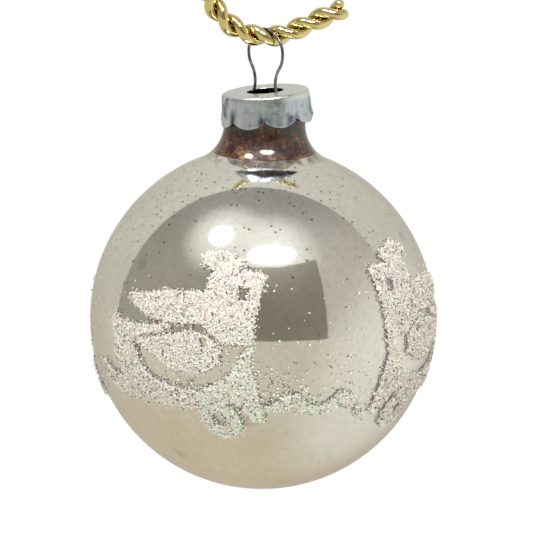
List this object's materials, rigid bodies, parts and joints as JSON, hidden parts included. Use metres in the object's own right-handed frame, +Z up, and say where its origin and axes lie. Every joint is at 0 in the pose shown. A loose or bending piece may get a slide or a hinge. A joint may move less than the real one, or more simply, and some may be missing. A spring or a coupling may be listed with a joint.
{
  "type": "glass ball ornament",
  "caption": "Silvered glass ball ornament with raised glitter sleighs, petal-edged metal cap, sprung wire hanger and a twisted gold hanging cord.",
  "frame": {"origin": "lowest point of the glass ball, on the ball's axis", "axes": "+Z up the ball's axis through its neck; +X to the right, along the twisted cord, seen from the front; the front faces -Y"},
  "size_m": [0.0641, 0.0641, 0.0977],
  "materials": {
    "bulb_glass": "clear blown glass",
    "silvering": "silvered mirror with fine tarnish",
    "lacquer": "aged brown lacquer film",
    "cap_metal": "stamped, slightly worn",
    "spring_wire": "dark drawn spring wire",
    "gold_cord": "bright polished gold",
    "glitter": "iridescent flakes in glue"
  },
  "bodies": {
    "cord": {"cord_front_strand": "gold_cord", "cord_back_strand": "gold_cord"},
    "hanger": {"hanger_wire": "spring_wire"},
    "cap": {"cap": "cap_metal"},
    "ball": {"glass_bulb": "bulb_glass", "silver_lining": "silvering", "neck_lacquer": "lacquer", "left_sleigh_load": "glitter", "left_sleigh_body": "glitter", "left_sleigh_runner": "glitter", "right_sleigh_load": "glitter", "right_sleigh_body": "glitter", "right_sleigh_runner": "glitter", "back_sleigh_load": "glitter", "back_sleigh_body": "glitter", "back_sleigh_runner": "glitter", "snow_line": "glitter", "loose_flecks": "glitter"}
  },
  "joints": [
    {"name": "hanger_swing", "type": "hinge", "parent": "cord", "child": "hanger", "pos_m": [0, 0, 0.08555], "axis": [0.7071, -0.7071, 0], "range_deg": [-20, 20]},
    {"name": "cap_turn", "type": "hinge", "parent": "hanger", "child": "cap", "pos_m": [0, 0, 0.07415], "axis": [0, 0, 1], "continuous": true},
    {"name": "ball_release", "type": "slide", "parent": "cap", "child": "ball", "axis": [0, 0, -1], "range_m": [0, 0.012]}
  ]
}
